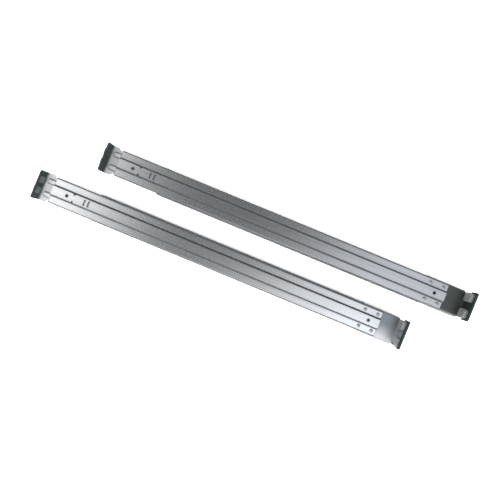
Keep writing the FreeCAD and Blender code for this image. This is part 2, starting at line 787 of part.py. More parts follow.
    def rear_bracket(self):
        s, level, shop = self.s, self.level, self.shop
        wide, narrow = s.flange_width / 2, level.arm_half
        spread = wide - narrow
        front, rear = -level.arm_front, s.flange_bend - s.rear_reach
        neck = s.arm_spread - s.rear_reach
        outline = Outline(rear, wide).line(neck - spread, wide).line(neck, narrow).line(front, narrow)
        outline.line(front, -narrow).line(neck, -narrow).line(neck - spread, -wide).line(rear, -wide)
        plate = put(shop.bar(self.name("arm_plate"), "XY_Plane", outline, s.arm_wall), z=level.arm)
        flange = self.flange("rear_flange", Size.of(0), s.arm_wall, s.rear_rise)
        turned = FreeCAD.Rotation(FreeCAD.Vector(0, 0, 1), 180)
        flange.Placement = FreeCAD.Placement(FreeCAD.Vector(), turned)
        put(flange, -s.rear_reach, Size.of(0), level.arm)
        beads, hollows = [], []
        start, end, wall = level.arm_front + s.bead_front, s.rear_reach - s.bead_rear, s.bead_wall
        for number, side in enumerate((-1, 1)):
            across = side * s.bead_centre
            beads.append(self.bead(number, slot_outline(start, end, across, s.bead_width)))
            hollow = slot_outline(start + wall, end - wall, across, s.bead_width - wall * 2)
            tool = shop.bar(self.name(f"bead_hollow_{number}"), "XY_Plane", hollow, s.bead_rise + PAST)
            hollows.append(put(tool, z=level.arm - PAST))
        blank = shop.fuse(self.name("arm_blank"), [plate, flange] + beads)
        slot = slot_outline(level.arm_front + s.slot_front, level.slot_rear, Size.of(0), s.slot_width)
        slot_tool = shop.bar(self.name("arm_slot"), "XY_Plane", slot, s.arm_wall + PAST * 2)
        tools = hollows + [put(slot_tool, z=level.arm - PAST)]
        for number, side in enumerate((-1, 1)):
            tools.append(shop.block(
                self.name(f"peg_hole_{number}"), -s.rear_reach - PAST,
                side * s.peg_pitch / 2 - s.peg_width / 2,
                level.arm + s.peg_height - s.peg_width / 2,
                s.arm_wall + PAST * 2, s.peg_width, s.peg_width,
            ))
        self.finish(shop.cut(self.name("arm_cut"), blank, tools), "rear_bracket")

    def rear_pegs(self):
        s, level, shop = self.s, self.level, self.shop
        half, height = s.peg_width / 2, level.arm + s.peg_height
        pegs = []
        for number, side in enumerate((-1, 1)):
            middle = side * s.peg_pitch / 2
            outline = Outline(middle + half, height - half).line(middle + half, height + half)
            outline.line(middle - half, height + half).line(middle - half, height - half)
            length = s.peg_reach + s.arm_wall + s.peg_foot
            body = shop.bar(self.name(f"peg_{number}"), "YZ_Plane", outline, length)
            shop.doc.recompute()
            pad = body.Tip
            nose = body.newObject("PartDesign::Chamfer", self.name(f"peg_nose_{number}"))
            nose.Base = (pad, edges_at(pad.Shape, X=0))
            bind(nose, "Size", s.peg_nose)
            body.Tip = nose
            pegs.append(put(body, x=-(s.rear_reach + s.peg_reach)))
        self.finish(shop.group(self.name("peg_set"), pegs), "rear_pegs")

    def bead(self, number, outline):
        """A pressed bead: a slot-shaped pad whose top edge is rounded."""
        s, level, shop = self.s, self.level, self.shop
        height = s.arm_wall + s.bead_rise
        body = shop.bar(self.name(f"bead_{number}"), "XY_Plane", outline, height)
        shop.doc.recompute()
        pad = body.Tip
        fillet = body.newObject("PartDesign::Fillet", self.name(f"bead_round_{number}"))
        fillet.Base = (pad, edges_at(pad.Shape, Z=height.value))
        bind(fillet, "Radius", s.bead_round)
        body.Tip = fillet
        return put(body, z=level.arm)

    # ---- the release lever ----------------------------------------------------------------

    def release_lever(self):
        s, level, shop, hand = self.s, self.level, self.shop, self.hand
        half = s.lever_width / 2
        ear = hand * s.lever_ear
        front, rear, ear_length = s.lever_front, -s.lever_rear, s.lever_ear_length
        outline = Outline(front, -half).line(front, half)
        if hand > 0:
            outline.line(rear + ear_length, half).line(rear + ear_length, ear).line(rear, ear)
            outline.line(rear, -half)
        else:
            outline.line(rear, half).line(rear, ear).line(rear + ear_length, ear)
            outline.line(rear + ear_length, -half)
        low = s.member_wall + s.lever_lift
        plate = put(
            shop.bar(self.name("lever_plate"), "XY_Plane", outline, s.lever_wall), -level.lever_place, z=low,
        )
        tab = shop.block(
            self.name("lever_tab"), -level.lever_place + front - s.lever_wall, -half, low,
            s.lever_wall, s.lever_width, s.lever_wall + s.lever_tab,
        )
        blank = shop.fuse(self.name("lever_blank"), [plate, tab])
        hole = self.holes(
            "lever_hole", [(level.lever_place, 0)], s.pivot_radius + s.pivot_play,
            low - PAST, s.lever_wall + PAST * 2,
        )
        self.finish(shop.cut(self.name("lever_cut"), blank, hole), "release_lever")

    def release_pivot(self):
        s, level = self.s, self.level
        spring = s.spring_wire * 2 * SPRING_COILS
        seat = s.member_wall + s.lever_lift + s.lever_wall + spring + s.pivot_play * 4
        collar_top = s.member_wall + s.lever_lift - s.pivot_play
        collar = s.pivot_radius * 2
        outline = Outline(0, 0).line(s.pivot_radius, 0).line(s.pivot_radius, s.member_wall)
        outline.line(collar, s.member_wall).line(collar, collar_top).line(s.pivot_radius, collar_top)
        outline.line(s.pivot_radius, seat).line(s.pivot_head, seat)
        outline.line(s.pivot_head, seat + s.spring_wire).line(0, seat + s.spring_wire)
        pivot = put(self.shop.turned(self.name("pivot_turning"), outline), -level.lever_place, Size.of(0))
        self.finish(self.shop.group(self.name("pivot_set"), [pivot]), "release_pivot")

    def release_spring(self):
        s, level = self.s, self.level
        wire = s.spring_wire
        low = s.member_wall + s.lever_lift + s.lever_wall + s.pivot_play * 2 + wire
        coils = []
        for turn in range(SPRING_COILS):
            coil = self.shop.doc.addObject("Part::Torus", self.name(f"spring_coil_{turn}"))
            bind(coil, "Radius1", s.pivot_radius + s.pivot_play * 4 + wire)
            bind(coil, "Radius2", wire)
            coils.append(put(coil, -level.lever_place, Size.of(0), low + (wire * 2 - s.pivot_play) * turn))
        self.finish(self.shop.fuse(self.name("spring_set"), coils), "release_spring")

    def build(self):
        level = self.level
        self.outer_member()
        self.mount_channel()
        self.intermediate_member()
        self.inner_member()
        self.cage("outer_ball_cage", level.outer_ball, level.outer_cage, level.outer_cage_front)
        self.balls("outer_balls", level.outer_ball, level.outer_cage_front)
        self.cage("inner_ball_cage", level.inner_ball, level.inner_cage, level.inner_cage_front)
        self.balls("inner_balls", level.inner_ball, level.inner_cage_front)
        self.front_bracket()
        self.front_rivets()
        self.nut_blocks()
        self.rear_bracket()
        self.rear_pegs()
        self.guide_rivets()
        self.rear_bumper()
        self.release_lever()
        self.release_pivot()
        self.release_spring()
        return self.nodes


def edges_at(shape, **places):
    """Names of the edges whose ends all lie at the given places, such as Z=3.0, Y=1.5."""
    return [
        f"Edge{number}"
        for number, edge in enumerate(shape.Edges, start=1)
        if all(
            abs(getattr(vertex.Point, axis.lower()) - place) < TINY
            for vertex in edge.Vertexes
            for axis, place in places.items()
        )
    ]


class Named:
    """The sheet's sizes as attributes."""

    def __init__(self, sizes):
        self.__dict__.update(sizes)


def check(doc, nodes):
    """Stop if anything failed to compute or any sub-part is not a sound solid."""
    for thing in doc.Objects:
        if "Invalid" in thing.State or "Error" in thing.State:
            raise RuntimeError(f"{thing.Name} did not compute: {thing.State}")
    for piece in nodes:
        shape = piece.Shape
        if shape.isNull() or not shape.isValid() or not shape.Solids:
            raise RuntimeError(f"{piece.Label} is not a sound solid")


def main():
    doc = FreeCAD.newDocument("ServerRailPair")
    sizes = Named(make_sheet(doc))
    doc.recompute()
    shop = Shop(doc)
    nodes = []
    for side, hand in (("left", 1), ("right", -1)):
        nodes += Rail(shop, sizes, side, hand).build()
    doc.recompute()
    check(doc, nodes)
    os.makedirs("parts", exist_ok=True)
    for piece in nodes:
        piece.Shape.exportStep(f"parts/{piece.Label}.step")
        print(piece.Label, len(piece.Shape.Solids), round(piece.Shape.Volume, 1))


main()
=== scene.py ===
"""Looks of a pair of telescopic server rails lying on their chassis sides.

The rails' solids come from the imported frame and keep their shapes.  This script gives each of them
its metal, rubber or plating, adds the screw threads and the release springs, and sets the floor,
the light and the camera.  Everything is in metres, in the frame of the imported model: +X is the
rack's front.
"""

from __future__ import annotations

import json
import logging
import math
from dataclasses import dataclass, field
from enum import Enum

import bpy
import numpy as np
from mathutils import Matrix, Vector

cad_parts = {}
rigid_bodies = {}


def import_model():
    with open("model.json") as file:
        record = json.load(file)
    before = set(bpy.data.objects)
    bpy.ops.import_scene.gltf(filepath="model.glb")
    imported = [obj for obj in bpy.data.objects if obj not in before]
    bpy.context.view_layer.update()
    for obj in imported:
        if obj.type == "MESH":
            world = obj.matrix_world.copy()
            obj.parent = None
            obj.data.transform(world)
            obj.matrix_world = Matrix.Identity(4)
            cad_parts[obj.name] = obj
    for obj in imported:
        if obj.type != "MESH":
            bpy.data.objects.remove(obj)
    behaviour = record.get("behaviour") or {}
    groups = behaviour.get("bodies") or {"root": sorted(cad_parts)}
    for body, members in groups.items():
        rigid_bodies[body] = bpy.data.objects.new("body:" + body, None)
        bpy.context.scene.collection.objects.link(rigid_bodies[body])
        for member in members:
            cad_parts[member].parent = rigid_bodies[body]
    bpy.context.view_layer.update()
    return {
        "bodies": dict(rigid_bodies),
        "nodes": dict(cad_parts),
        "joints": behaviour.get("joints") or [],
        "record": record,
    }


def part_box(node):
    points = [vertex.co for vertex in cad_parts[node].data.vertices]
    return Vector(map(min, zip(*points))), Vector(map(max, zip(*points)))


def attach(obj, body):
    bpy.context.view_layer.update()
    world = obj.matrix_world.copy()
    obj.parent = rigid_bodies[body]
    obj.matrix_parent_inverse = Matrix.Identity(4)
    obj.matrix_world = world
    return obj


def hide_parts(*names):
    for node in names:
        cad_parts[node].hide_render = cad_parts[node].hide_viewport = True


LOG = logging.getLogger("server_rails")
MM = 0.001

Colour = tuple[float, float, float]
Step = tuple[float, float]  # where a smooth step leaves 0, and where it reaches 1

# How many bumps of noise there are per metre along, across and up the rail.
MILL_STREAKS: Colour = (7.0, 620.0, 620.0)
MILL_LINES: Colour = (30.0, 4200.0, 4200.0)
HANDLING_CLOUDS: Colour = (22.0, 40.0, 40.0)
FLANGE_MOTTLE: Colour = (150.0, 110.0, 150.0)

# How many rays the shaders cast for a rounded edge and for a crease.
EDGE_SAMPLES = 4
CREASE_SAMPLES = 6


class Side(Enum):
    """The two rails, by the side of the server that they carry."""

    LEFT = "left"
    RIGHT = "right"

    def node(self, word: str) -> str:
        """The full name of one of this rail's sub-parts or bodies."""
        return f"{self.value}_{word}"


# ---- shader maths ----------------------------------------------------------------------------


class Signal:
    """A number that varies over a surface; Python's operators on it add Math nodes."""

    def __init__(self, shader: "Shader", socket: bpy.types.NodeSocket) -> None:
        """Wrap a socket.

        Args:
            shader: the builder of the node tree that the socket is in.
            socket: an output socket that carries one number.
        """
        self.shader = shader
        self.socket = socket

    def _math(self, operation: str, *values: "Signal | float", clamp: bool = False) -> "Signal":
        """One Math node.

        Args:
            operation: the Math node's operation.
            values: its inputs, numbers or signals.
            clamp: whether the result is kept from 0 to 1.

        Returns:
            The node's result.
        """
        settings = {"operation": operation, "use_clamp": clamp}
        return self.shader.number("ShaderNodeMath", settings, dict(enumerate(values)))

    def __add__(self, other: "Signal | float") -> "Signal":
        """Sum."""
        return self._math("ADD", self, other)

    __radd__ = __add__

    def __sub__(self, other: "Signal | float") -> "Signal":
        """Difference."""
        return self._math("SUBTRACT", self, other)

    def __rsub__(self, other: "Signal | float") -> "Signal":
        """Difference from a number."""
        return self._math("SUBTRACT", other, self)

    def __mul__(self, other: "Signal | float") -> "Signal":
        """Product."""
        return self._math("MULTIPLY", self, other)

    __rmul__ = __mul__

    def __pow__(self, other: "Signal | float") -> "Signal":
        """Power."""
        return self._math("POWER", self, other)

    def kept(self) -> "Signal":
        """The same number, kept from 0 to 1."""
        return self._math("ADD", self, 0.0, clamp=True)

    def ramp(self, low: float, high: float) -> "Signal":
        """A smooth step.

        Args:
            low: where it starts to leave 0; it may be above high, for a falling step.
            high: where it reaches 1.

        Returns:
            0 before low, 1 past high, and a smooth rise between them.
        """
        settings = {"interpolation_type": "SMOOTHSTEP"}
        return self.shader.number(
            "ShaderNodeMapRange", settings, {"Value": self, "From Min": low, "From Max": high}
        )


class Shader:
    """Builds one node tree, of a material or of the world."""

    def __init__(self, tree: bpy.types.NodeTree) -> None:
        """Start on an emptied tree.

        Args:
            tree: the node tree to fill.
        """
        self.tree = tree
        tree.nodes.clear()

    def add(
        self, kind: str, settings: dict[str, object] | None = None, inputs: dict | None = None
    ) -> bpy.types.Node:
        """Add a node, set it up, and feed it.

        Args:
            kind: the node's type.
            settings: its own properties, set before its sockets are touched.
            inputs: values, signals or sockets, by socket name or number.

        Returns:
            The new node.
        """
        node = self.tree.nodes.new(kind)
        for name, value in (settings or {}).items():
            setattr(node, name, value)
        for key, value in (inputs or {}).items():
            if isinstance(value, Signal):
                value = value.socket
            if isinstance(value, bpy.types.NodeSocket):
                self.tree.links.new(value, node.inputs[key])
            else:
                node.inputs[key].default_value = value
        return node

    def number(
        self, kind: str, settings: dict[str, object], inputs: dict, output: int | str = 0
    ) -> Signal:
        """Add a node and wrap one of its outputs.

        Args:
            kind: the node's type.
            settings: its own properties.
            inputs: values, signals or sockets, by socket name or number.
            output: the wanted output, by name or number.

        Returns:
            That output as a signal.
        """
        return Signal(self, self.add(kind, settings, inputs).outputs[output])

    def place(self, scale: Colour = (1.0, 1.0, 1.0)) -> bpy.types.NodeSocket:
        """The point on the object, in metres, stretched along each axis."""
        point = self.add("ShaderNodeTexCoord").outputs["Object"]
        mapping = self.add("ShaderNodeMapping", {}, {"Vector": point, "Scale": scale})
        return mapping.outputs["Vector"]

    def along(self, axis: str) -> Signal:
        """One coordinate of the point on the object, in metres."""
        point = self.add("ShaderNodeTexCoord").outputs["Object"]
        return self.number("ShaderNodeSeparateXYZ", {}, {0: point}, axis)

    def noise(self, scale: Colour | float, detail: float = 2.0) -> Signal:
        """Smooth noise from 0 to 1.

        Args:
            scale: how many bumps there are per metre, along each axis or along all three.
            detail: how many finer layers are laid over the first.

        Returns:
            The noise.
        """
        stretch = scale if isinstance(scale, tuple) else (scale, scale, scale)
        inputs = {"Vector": self.place(stretch), "Scale": 1.0, "Detail": detail}
        return self.number("ShaderNodeTexNoise", {}, inputs, "Fac")

    def cells(self, pitch: float) -> Signal:
        """A random number for each crystal of a sheet's coating.

        Args:
            pitch: the crystals' size in metres.

        Returns:
            One number from 0 to 1 in each cell.
        """
        voronoi = self.add("ShaderNodeTexVoronoi", {}, {"Vector": self.place(), "Scale": 1 / pitch})
        return self.number("ShaderNodeSeparateColor", {}, {0: voronoi.outputs["Color"]}, 0)

    def normal(self) -> bpy.types.NodeSocket:
        """The direction in which the flat face itself looks."""
        return self.add("ShaderNodeNewGeometry").outputs["True Normal"]

    def beside(self, operation: str, reach: float) -> bpy.types.Node:
        """Set the normal of a copy with rounded edges against the face's own.

        Args:
            operation: the Vector Math node's operation on the two normals.
            reach: how far from an edge the rounding acts, in metres.

        Returns:
            The Vector Math node.
        """
        rounded = self.add("ShaderNodeBevel", {"samples": EDGE_SAMPLES}, {"Radius": reach})
        both = {0: rounded.outputs[0], 1: self.normal()}
        return self.add("ShaderNodeVectorMath", {"operation": operation}, both)

    def edges(self, reach: float) -> Signal:
        """Where the metal turns sharply, found from how a rounded copy's normal departs.

        Args:
            reach: how far from an edge the rounding acts, in metres.

        Returns:
            0 on flat metal, rising towards 1 at the edges.
        """
        agreement = Signal(self, self.beside("DOT_PRODUCT", reach).outputs["Value"])
        return (1.0 - agreement).ramp(0.01, 0.22)

    def turned(self, axis: str) -> Signal:
        """How far the surface faces along an axis, either way: the square of its normal's share."""
        return self.number("ShaderNodeSeparateXYZ", {}, {0: self.normal()}, axis) ** 2.0

    def bends(self, ends: float) -> Signal:
        """Where flat sheet turns over into a wall: 1 on the slope between, 0 on both sides of it.

        Args:
            ends: how much slopes that face along the rail count, beside those that face sideways.

        Returns:
            The smooth step of 4 * z * (y + ends * x), of the squares of the normal's shares.
        """
        sideways = self.turned("Y") + self.turned("X") * ends
        return (self.turned("Z") * sideways * 4.0).ramp(0.10, 0.75)

    def folds(self, reach: float, ends: float) -> Signal:
        """The flat metal beside a fold or a bend, found from how a rounded copy's normal departs.

        Args:
            reach: how far from the fold the mark goes, in metres.
            ends: how much the folds across the rail count, beside those along it.

        Returns:
            The smooth step of dy * dy + ends * dx * dx, of the departing normal's shares.
        """
        lean = self.beside("SUBTRACT", reach).outputs[0]
        parts = self.add("ShaderNodeSeparateXYZ", {}, {0: lean})
        across, along = (Signal(self, parts.outputs[axis]) for axis in "YX")
        return (across * across + along * along * ends).ramp(0.0005, 0.025)

    def creases(self, reach: float) -> Signal:
        """Where shade falls, for painted shade: how much of the near surroundings the metal itself
        takes up.

        Args:
            reach: how far the surroundings are looked at, in metres.

        Returns:
            0 on open metal, rising to 1 in corners and under overhangs.
        """
        samples = {"samples": CREASE_SAMPLES}
        opening = self.number("ShaderNodeAmbientOcclusion", samples, {"Distance": reach}, "AO")
        return (1.0 - opening).ramp(0.06, 0.50)

    def tint(self, first: object, second: object, share: Signal | float) -> bpy.types.NodeSocket:
        """Mix two colours.

        Args:
            first: a colour or a colour socket.
            second: the colour that is laid over it.
            share: how much of the second there is.

        Returns:
            The mixed colour's socket.
        """
        # The Mix node holds sockets for every type of data; these are the ones for colours.
        factor, colour_a, colour_b, result = 0, 6, 7, 2
        inputs = {factor: share, colour_a: opaque(first), colour_b: opaque(second)}
        return self.add("ShaderNodeMix", {"data_type": "RGBA"}, inputs).outputs[result]

    def bump(self, height: Signal, depth: float) -> bpy.types.NodeSocket:
        """A normal that follows a height.

        Args:
            height: the height as a signal from 0 to 1.
            depth: how high 1 stands, in metres.

        Returns:
            The normal's socket.
        """
        inputs = {"Height": height, "Distance": depth, "Strength": 1.0}
        return self.add("ShaderNodeBump", {}, inputs).outputs["Normal"]

    def surface(self, **sockets: object) -> None:
        """End the tree in one Principled surface with the given sockets."""
        inputs = {name.replace("_", " "): opaque(value) for name, value in sockets.items()}
        shader = self.add("ShaderNodeBsdfPrincipled", {}, inputs)
        self.add("ShaderNodeOutputMaterial", {}, {"Surface": shader.outputs[0]})


def opaque(value: object) -> object:
    """A bare colour with its alpha added; anything else as it is."""
    return (*value, 1.0) if isinstance(value, tuple) and len(value) == 3 else value


def new_material(name: str) -> tuple[bpy.types.Material, Shader]:
    """Make an empty material.

    Args:
        name: the material's name.

    Returns:
        The material and the builder of its tree.
    """
    material = bpy.data.materials.new(name)
    material.use_nodes = True
    return material, Shader(material.node_tree)


# ---- finishes --------------------------------------------------------------------------------


@dataclass(frozen=True)
class FlangeShade:
    """A painted dark reflection on the end of a bracket, from one place on an axis outwards."""

    axis: str
    start: float
    outward: float
    fade: float
    colour: Colour = (0.037, 0.055, 0.044)
    second: Colour = (0.029, 0.045, 0.056)

    def share(self, shader: Shader) -> Signal:
        """0 ahead of the start, 1 beyond the fade."""
        place = shader.along(self.axis) - self.start
        return (place * self.outward).ramp(0.0, self.fade)

    def mottled(self, shader: Shader) -> bpy.types.NodeSocket:
        """The painted reflection's two tones in soft patches."""
        return shader.tint(self.colour, self.second, shader.noise(FLANGE_MOTTLE).ramp(0.40, 0.62))


@dataclass(frozen=True)
class PlateShade:
    """A painted dark reflection on a bracket's flat faces, from none to full between two places
    across it.
    """

    colour: Colour
    bare: float
    full: float
    lean: Step = (0.45, 0.10)

    def darkened(self, shader: Shader) -> Signal:
        """Where the painted dark reflection lies: between its places, and not on walls that face
        across the rail.
        """
        return shader.turned("Y").ramp(*self.lean) * shader.along("Y").ramp(self.bare, self.full)


@dataclass(frozen=True)
class RolledZinc:
    """Zinc-plated cold-rolled sheet: mill streaks, faint crystals, grey bends and creases.

    The rub says how strongly worn edges show. The fold and crease strengths say how strongly
    painted shade darkens the bends and the creases.  The width is how far a fold's painted shade
    goes, the shelter how deep a crease is looked into, and ends how much the folds across the rail
    count beside those along it.  The grain is how high the mill lines stand.
    """

    name: str
    colour: Colour = (0.622, 0.640, 0.655)
    dull: Colour = (0.525, 0.545, 0.562)
    edge: Colour = (0.780, 0.800, 0.820)
    # painted shade: the dark colour laid on bends and in creases
    shade_colour: Colour = (0.044, 0.049, 0.052)
    roughness: float = 0.26
    spread: float = 0.10
    metal: float = 1.0
    rub: float = 0.15
    # how strongly painted shade darkens bends and creases, and how far it reaches
    fold: float = 0.92
    crease_shade: float = 0.80
    width: float = 1.8 * MM
    ends: float = 0.15
    shelter: float = 3.2 * MM
    crystal: float = 2.6 * MM
    grain: float = 2e-6
    plate_shade: PlateShade | None = None
    flange: FlangeShade | None = None

    def material(self) -> bpy.types.Material:
        """Build the sheet's material."""
        material, shader = new_material(self.name)
        streaks = shader.noise(MILL_STREAKS, 3.0)
        lines = shader.noise(MILL_LINES)
        clouds = shader.noise(HANDLING_CLOUDS)
        crystals = shader.cells(self.crystal)
        worn = shader.edges(0.5 * MM)
        patchy = streaks.ramp(0.36, 0.66) * 0.55 + crystals * 0.1 + clouds.ramp(0.4, 0.7) * 0.3
        colour = shader.tint(self.colour, self.dull, patchy.kept())
        # painted dark reflection across the bracket's plate, fading across it
        if self.plate_shade is not None:
            darkened = self.plate_shade.darkened(shader) * (0.94 + clouds * 0.06)
            colour = shader.tint(colour, self.plate_shade.colour, darkened)
        colour = shader.tint(colour, self.edge, worn * self.rub)
        # painted shade on bends, folds and creases: darker, less metallic and rougher there
        folded = (shader.bends(self.ends) + shader.folds(self.width, self.ends)).kept()
        shaded = (folded * self.fold + shader.creases(self.shelter) * self.crease_shade).kept()
        colour = shader.tint(colour, self.shade_colour, shaded * (0.92 + clouds * 0.08))
        uneven = lines * 0.6 + crystals * 0.15 + clouds * 0.3 - 0.5
        rough = (uneven * self.spread + shaded * 0.12 + self.roughness).kept()
        # painted dark reflection on the flange, with lighter worn edges over it
        if self.flange is not None:
            dark = self.flange.share(shader)
            rubbed = shader.tint(self.flange.mottled(shader), self.edge, worn * 0.25)
            colour = shader.tint(colour, rubbed, dark)
            rough = rough + dark * 0.06
        shader.surface(
            Base_Color=colour, Metallic=(1.0 - shaded * 0.9) * self.metal, Roughness=rough,
            Normal=shader.bump(lines * 0.7 + crystals * 0.3, self.grain),
        )
        return material


@dataclass(frozen=True)
class CastZinc:
    """Die-cast zinc: matte, finely pitted, smoother where it was rubbed."""

    name: str
    colour: Colour
    shade: Colour
    edge: Colour = (0.550, 0.555, 0.555)
    roughness: float = 0.55
    pits: float = 0.025 * MM

    def material(self) -> bpy.types.Material:
        """Build the casting's material."""
        material, shader = new_material(self.name)
        grain = shader.noise(1500.0, 4.0)
        patches = shader.noise(180.0)
        worn = shader.edges(0.45 * MM)
        colour = shader.tint(self.colour, self.shade, patches.ramp(0.35, 0.7) * 0.7 + grain * 0.2)
        colour = shader.tint(colour, self.edge, worn * 0.4)
        shader.surface(
            Base_Color=colour, Metallic=0.85,
            Roughness=self.roughness + grain * 0.16 - worn * 0.15,
            Normal=shader.bump(grain, self.pits),
        )
        return material


@dataclass(frozen=True)
class TurnedSteel:
    """Steel of rivets, pins, springs and balls: even, with fine marks of its making."""

    name: str
    colour: Colour
    stain: Colour
    roughness: float
    marks: float = 3e-6
    edge: Colour = (0.80, 0.80, 0.81)

    def material(self) -> bpy.types.Material:
        """Build the steel's material."""
        material, shader = new_material(self.name)
        marks = shader.noise(900.0, 3.0)
        stained = shader.noise(240.0).ramp(0.4, 0.75)
        worn = shader.edges(0.3 * MM)
        colour = shader.tint(self.colour, self.stain, stained * 0.6)
        colour = shader.tint(colour, self.edge, worn * 0.35)
        shader.surface(
            Base_Color=colour, Metallic=1.0,
            Roughness=self.roughness + marks * 0.10,
            Normal=shader.bump(marks, self.marks),
        )
        return material


@dataclass(frozen=True)
class MouldedRubber:
    """Black moulded rubber with a fine matte grain and a greyish bloom."""

    name: str
    colour: Colour = (0.022, 0.022, 0.024)
    bloom: Colour = (0.060, 0.060, 0.062)
    pits: float = 0.03 * MM

    def material(self) -> bpy.types.Material:
        """Build the rubber's material."""
        material, shader = new_material(self.name)
        grain = shader.noise(2600.0, 3.0)
        bloom = shader.noise(150.0, 3.0).ramp(0.42, 0.75)
        worn = shader.edges(0.6 * MM)
        colour = shader.tint(self.colour, self.bloom, (bloom * 0.6 + worn * 0.5).kept())
        shader.surface(
            Base_Color=colour, Metallic=0.0, Roughness=0.68 + grain * 0.2,
            Normal=shader.bump(grain, self.pits),
        )
        return material


# ---- surfaces --------------------------------------------------------------------------------


def tube(path: np.ndarray, radius: float, sides: int = 12) -> tuple[np.ndarray, np.ndarray]:
    """Carry a circle along a path and close both ends.

    At each point the circle lies square to the path: centre + radius * (cos a * across + sin a *
    up), where across is the path's direction crossed with the axis Z, and up is across crossed with
    that direction.

    Args:
        path: the path's points, one row each.
        radius: the tube's radius.
        sides: how many points the circle has.

    Returns:
        The vertices, and the faces as rows of four vertex numbers.
    """
    ahead = np.gradient(path, axis=0)
    ahead /= np.linalg.norm(ahead, axis=1, keepdims=True)
    across = np.cross(ahead, np.array([0.0, 0.0, 1.0]))
    across /= np.linalg.norm(across, axis=1, keepdims=True)
    up = np.cross(across, ahead)
    angle = np.linspace(0.0, 2 * np.pi, sides, endpoint=False)
    rings = path[:, None] + radius * (
        np.cos(angle)[None, :, None] * across[:, None] + np.sin(angle)[None, :, None] * up[:, None]
    )
    points = np.vstack([path[:1], rings.reshape(-1, 3), path[-1:]])
    return points, capped_faces(len(path), sides)


def capped_faces(rows: int, sides: int) -> np.ndarray:
    """Faces of a closed shell: a pole, rows of rings, and a pole.

    Args:
        rows: how many rings there are.
        sides: how many points each ring has.

    Returns:
        The faces as rows of four vertex numbers; a pole's faces repeat the pole.
    """
    number = 1 + np.arange(rows * sides).reshape(rows, sides)
    after = np.roll(number, -1, axis=1)
    walls = np.stack([number[:-1], number[1:], after[1:], after[:-1]], axis=-1).reshape(-1, 4)
    first, last = np.zeros(sides, int), np.full(sides, rows * sides + 1)
    first_cap = np.stack([first, first, number[0], after[0]], axis=-1)
    last_cap = np.stack([last, last, after[-1], number[-1]], axis=-1)
    return np.vstack([walls, first_cap, last_cap])


def ring_faces(rows: int, sides: int) -> np.ndarray:
    """Faces of a closed grid that joins up both ways, as on a torus.

    Args:
        rows: how many points there are one way.
        sides: how many points there are the other way.

    Returns:
        The faces as rows of four vertex numbers.
    """
    number = np.arange(rows * sides).reshape(rows, sides)
    down, after = np.roll(number, -1, axis=0), np.roll(number, -1, axis=1)
    return np.stack([number, down, np.roll(down, -1, axis=1), after], axis=-1).reshape(-1, 4)


def piece(
    name: str, points: np.ndarray, faces: np.ndarray, material: bpy.types.Material
) -> bpy.types.Object:
    """Make a smooth mesh object whose faces point outwards.

    Args:
        name: the object's name.
        points: the vertices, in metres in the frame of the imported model.
        faces: rows of four vertex numbers; a number given twice makes a triangle.
        material: its material.

    Returns:
        The object, at the origin.
    """
    mesh = bpy.data.meshes.new(name)
    rows = [list(dict.fromkeys(row)) for row in faces.tolist()]
    mesh.from_pydata(points.tolist(), [], rows)
    mesh.materials.append(material)
    mesh.shade_smooth()
    thing = bpy.data.objects.new(name, mesh)
    bpy.context.scene.collection.objects.link(thing)
    return thing


def dress(node: bpy.types.Object, material: bpy.types.Material) -> None:
    """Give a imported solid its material, in every slot that it has."""
    for slot in node.material_slots:
        slot.material = material


# ---- sub-assemblies --------------------------------------------------------------------------


@dataclass(frozen=True)
class RailShading:
    """How light falls on one rail's brackets, painted into their colours: the front plate, its
    flange's rim, the rear arm and pegs.

    The plate's painted dark reflection runs from the bracket's low side to reach, measured from the
    bracket's middle.  The flange's painted dark reflection runs from the rim's depth below its top
    upwards.
    """

    plate: Colour
    reach: float
    rim: float
    arm: Colour
    peg: Colour
    peg_shade: Colour


# lit and shaded copies per rail: the left rail's plate, arm and pegs are painted darker, and its
# flange's dark rim deeper
RAIL_SHADING = {
    Side.LEFT: RailShading(
        plate=(0.098, 0.106, 0.096), reach=-16.0 * MM, rim=22.0 * MM, arm=(0.68, 0.70, 0.705),
        peg=(0.120, 0.135, 0.130), peg_shade=(0.080, 0.095, 0.090),
    ),
    Side.RIGHT: RailShading(
        plate=(0.225, 0.255, 0.290), reach=7.0 * MM, rim=6.0 * MM, arm=(0.98, 0.985, 0.99),
        peg=(0.265, 0.290, 0.285), peg_shade=(0.200, 0.225, 0.220),
    ),
}


@dataclass
class Palette:
    """The finishes that both rails share, each built once."""

    member: bpy.types.Material = field(init=False)
    channel: bpy.types.Material = field(init=False)
    strip: bpy.types.Material = field(init=False)
    rivet: bpy.types.Material = field(init=False)
    casting: bpy.types.Material = field(init=False)
    ball: bpy.types.Material = field(init=False)
    spring: bpy.types.Material = field(init=False)
    rubber: bpy.types.Material = field(init=False)

    def __post_init__(self) -> None:
        """Build the materials."""
        # these rolled sheets carry painted shade on bends and in creases
        strip = RolledZinc(
            "cage_strip", (0.62, 0.63, 0.65), (0.53, 0.54, 0.57), roughness=0.28, crystal=1.2 * MM
        )
        rivet = TurnedSteel("rivet_steel", (0.40, 0.405, 0.40), (0.32, 0.325, 0.32), 0.42)
        ball = TurnedSteel("ball_steel", (0.74, 0.74, 0.76), (0.68, 0.68, 0.70), 0.07, marks=1e-6)
        spring = TurnedSteel("spring_steel", (0.42, 0.43, 0.46), (0.30, 0.31, 0.34), 0.30)
        casting = CastZinc("cast_zinc", (0.46, 0.46, 0.465), (0.37, 0.37, 0.378))
        self.member = RolledZinc("member_zinc", roughness=0.30).material()
        self.channel = RolledZinc("channel_zinc").material()
        self.strip = strip.material()
        self.rivet = rivet.material()
        self.casting = casting.material()
        self.ball = ball.material()
        self.spring = spring.material()
        self.rubber = MouldedRubber("black_rubber").material()


